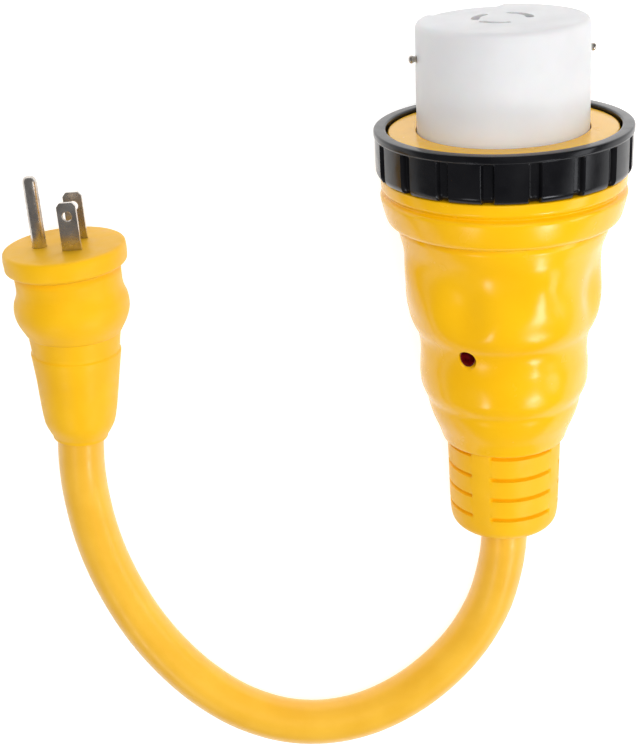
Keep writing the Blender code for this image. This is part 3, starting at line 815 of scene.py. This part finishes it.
def make_cord(finish):
    """The free cord: one smooth round tube along the CAD's own route."""
    start = PLUG @ lean_point(Vector((0.0, 0.0, PLUG_END - GAP)))
    end = CONNECTOR @ Vector((0.0, 0.0, BOOT_END - GAP))
    middle = [(Vector(point) - CENTRE) * MM for point in CORD_ROUTE]
    points = smooth_points([start, *middle, end], 0.0025)
    curve = bpy.data.curves.new("cord_line", "CURVE")
    curve.dimensions = "3D"
    curve.bevel_depth = CORD_RADIUS * MM
    curve.bevel_resolution = 12
    curve.use_fill_caps = True
    line = curve.splines.new("POLY")
    line.points.add(len(points) - 1)
    for knot, point in zip(line.points, points):
        knot.co = (*point, 1.0)
    line.use_smooth = True
    curve.materials.append(finish["jacket"])
    cord = bpy.data.objects.new("cord_jacket_tube", curve)
    bpy.context.scene.collection.objects.link(cord)
    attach(cord, ROOT)
    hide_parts("power_cord")


# ------------------------------------------------------------- inner pieces

INNER_FINISHES = {
    "contact_carrier": "white", "contact_line_1": "brass", "contact_line_2": "brass",
    "contact_neutral": "brass", "ground_strap": "brass", "carrier_screw_1": "nickel",
    "carrier_screw_2": "nickel", "carrier_screw_3": "nickel", "led_resistor": "resistor",
    "led_lead_line": "wire_white", "led_lead_neutral": "wire_white", "conductor_line": "wire_black",
    "conductor_neutral": "wire_white", "conductor_ground": "wire_green",
    "jumper_line_link": "wire_black", "cord_end_in_connector": "jacket",
    "cord_end_in_plug": "jacket", "plug_blade_carrier": "black", "plug_conductor_line": "wire_black",
    "plug_conductor_neutral": "wire_white", "plug_conductor_ground": "wire_green",
}


def finish_inner_pieces(finish):
    """The carried-over solids inside the mouldings get their real materials."""
    for name, material in INNER_FINISHES.items():
        item = frame["nodes"][name]
        if not item.material_slots:
            item.data.materials.append(finish[material])
        for slot in item.material_slots:
            slot.material = finish[material]


# -------------------------------------------------------------------- stage

# The table's half width is in metres, and the camera's height and lens in millimetres.
TABLE_HALF = 4
CAMERA_HEIGHT = 500.6
CAMERA_TILT = -13.0
LENS = 69.786


def area_light(name, place, target, size, power, in_gloss=True):
    """A rectangular light that faces its target, and may be left out of glossy reflections."""
    light = bpy.data.lights.new(name, "AREA")
    light.shape = "RECTANGLE"
    light.size, light.size_y = size
    light.energy = power
    lamp = bpy.data.objects.new(name, light)
    lamp.location = place
    lamp.rotation_euler = (Vector(target) - Vector(place)).to_track_quat("-Z", "Y").to_euler()
    lamp.visible_glossy = in_gloss
    bpy.context.scene.collection.objects.link(lamp)


def make_stage():
    """A plain pale table, a broad overhead light, and small soft boxes to the right and the left."""
    floor_mesh = bpy.data.meshes.new("table")
    half = TABLE_HALF
    corners = [(-half, -half, 0), (half, -half, 0), (half, half, 0), (-half, half, 0)]
    floor_mesh.from_pydata(corners, [], [(0, 1, 2, 3)])
    pale = new_material(
        "pale_table", (0.62, 0.62, 0.62), 0.9,
        Specular_IOR_Level=0.1, Emission_Color=(1.0, 1.0, 1.0, 1.0), Emission_Strength=0.72,
    )
    floor_mesh.materials.append(pale)
    floor = bpy.data.objects.new("table", floor_mesh)
    bpy.context.scene.collection.objects.link(floor)

    world = bpy.data.worlds.new("room")
    world.use_nodes = True
    world.node_tree.nodes["Background"].inputs["Color"].default_value = (0.20, 0.20, 0.205, 1.0)
    bpy.context.scene.world = world

    area_light("overhead", (0.08, 0.10, 0.95), (0.0, 0.0, 0.03), (0.7, 0.7), 7.0, in_gloss=False)
    area_light("far", (-0.05, 0.80, 0.45), (0.0, 0.0, 0.03), (0.9, 0.5), 0.8, in_gloss=False)
    area_light("near_right", (0.56, -0.60, 0.56), (0.05, 0.0, 0.04), (0.20, 0.20), 1.6)
    area_light("near_left", (-0.42, -0.70, 0.58), (0.0, 0.0, 0.04), (0.16, 0.16), 0.6)
    area_light("low_right", (0.55, -0.06, 0.26), (0.10, 0.0, 0.03), (0.40, 0.16), 0.6)


def make_camera():
    """Half a metre above the table, over the adapter's far part, tilted a little to the near side."""
    data = bpy.data.cameras.new("camera")
    data.sensor_width = 36.0
    data.lens = LENS
    data.clip_start = 0.01
    camera = bpy.data.objects.new("camera", data)
    camera.location = (Vector((0.0, 0.0, CAMERA_HEIGHT)) - CENTRE) * MM
    camera.rotation_euler = (math.radians(CAMERA_TILT), 0.0, 0.0)
    bpy.context.scene.collection.objects.link(camera)
    bpy.context.scene.camera = camera
    bpy.context.scene.view_settings.view_transform = "Standard"


make_camera()
finishes = make_materials()
make_cord(finishes)
make_connector_overmold(finishes)
make_lamp(finishes)
make_strain_relief_boot(finishes)
make_nose(finishes)
make_lugs(finishes)
make_ring(finishes)
make_gasket(finishes)
make_plug_overmold(finishes)
make_blades(finishes)
finish_inner_pieces(finishes)
make_stage()
